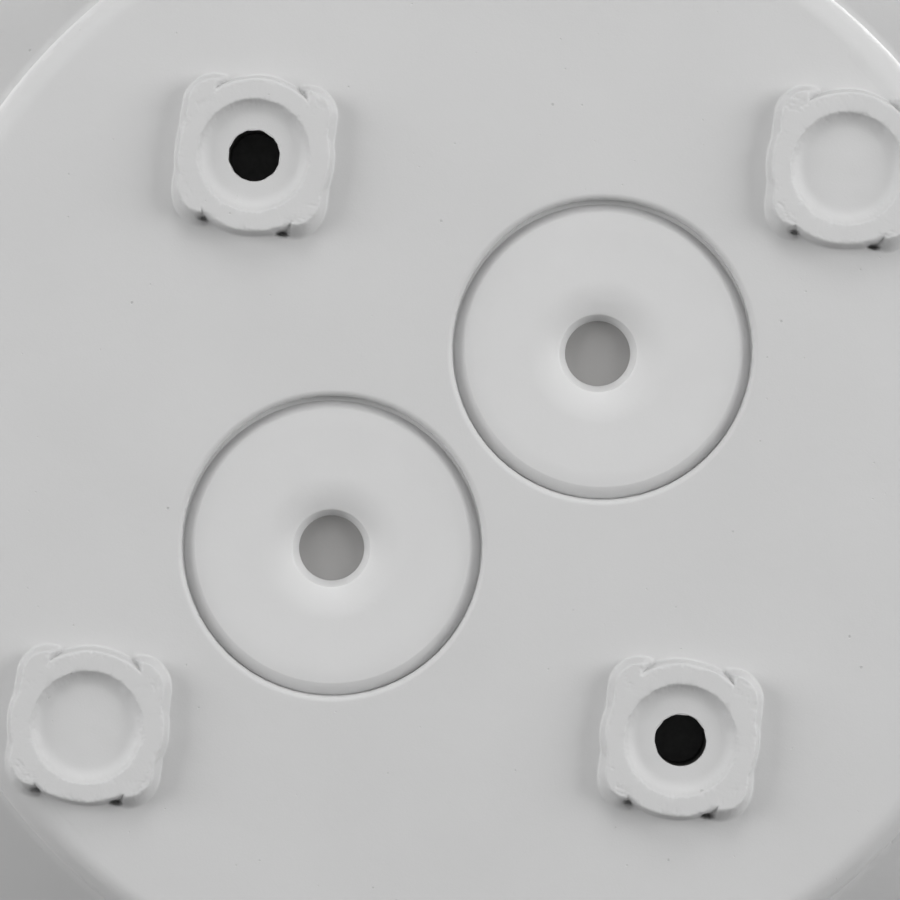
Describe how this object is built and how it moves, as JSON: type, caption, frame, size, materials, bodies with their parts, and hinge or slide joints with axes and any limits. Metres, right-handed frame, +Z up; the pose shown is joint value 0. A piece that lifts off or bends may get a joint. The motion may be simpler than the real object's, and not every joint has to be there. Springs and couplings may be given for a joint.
{
  "type": "outdoor wall light",
  "caption": "Round die-cast outdoor wall light with an opal screw-on front, standoff bosses and membrane cable grommets on its rear plate.",
  "frame": {"origin": "midway between the two wall-fixing holes, on the plane of the wall that the standoff bosses bear on", "axes": "+Z up, +Y into the wall, the light faces -Y"},
  "size_m": [0.12, 0.0533, 0.12],
  "materials": {
    "housing_paint": "light grey powder coat on die-cast aluminium",
    "white_silicone": "translucent white silicone rubber",
    "black_rubber": "black EPDM rubber",
    "grey_silicone": "matte grey silicone rubber",
    "white_steel": "gloss white stove-enamelled sheet steel",
    "zinc_steel": "bright zinc plate",
    "board_white": "white solder mask on an aluminium core board",
    "phosphor": "yellow phosphor in a white package",
    "natural_nylon": "natural nylon",
    "driver_plastic": "white polycarbonate, fine texture",
    "circuit_board": "green solder mask",
    "ferrite": "matte ferrite",
    "capacitor_can": "sleeved aluminium can",
    "plated_brass": "nickel-plated brass",
    "tinned_copper": "tinned copper",
    "brown_insulation": "brown silicone insulation",
    "blue_insulation": "blue silicone insulation",
    "green_yellow_insulation": "green and yellow silicone insulation",
    "red_insulation": "red silicone insulation",
    "black_insulation": "black silicone insulation",
    "opal": "satin opal polycarbonate"
  },
  "bodies": {
    "housing": {"housing": "housing_paint", "cable_grommet_upper": "white_silicone", "cable_grommet_lower": "white_silicone", "screw_seals": "black_rubber", "gear_tray": "white_steel", "gear_tray_screws": "zinc_steel", "led_board": "board_white", "led_chips": "phosphor", "led_board_screws": "zinc_steel", "led_connector": "natural_nylon", "driver_base": "driver_plastic", "driver_cover": "driver_plastic", "driver_board": "circuit_board", "driver_transformer": "ferrite", "driver_capacitors": "capacitor_can", "driver_screws": "zinc_steel", "terminal_body": "natural_nylon", "terminal_clamps": "plated_brass", "terminal_screws": "zinc_steel", "terminal_fixing_screws": "zinc_steel", "earth_lug": "tinned_copper", "earth_washer": "zinc_steel", "earth_screw": "zinc_steel", "lead_live": "brown_insulation", "lead_neutral": "blue_insulation", "lead_earth": "green_yellow_insulation", "lead_led_positive": "red_insulation", "lead_led_negative": "black_insulation", "housing_gasket": "grey_silicone"},
    "cover": {"diffuser": "opal", "glide_washer": "natural_nylon"},
    "ring": {"front_ring": "housing_paint"}
  },
  "joints": [
    {"name": "cover_lift", "type": "slide", "parent": "housing", "child": "cover", "axis": [0, -1, 0], "range_m": [0, 0.0075]},
    {"name": "ring_turn", "type": "hinge", "parent": "cover", "child": "ring", "pos_m": [0, -0.035, 0], "axis": [0, -1, 0], "range_deg": [0, 900]}
  ],
  "couplings": [
    {"joint": "cover_lift", "follows": "ring_turn", "m_per_rad": 0.000477}
  ]
}
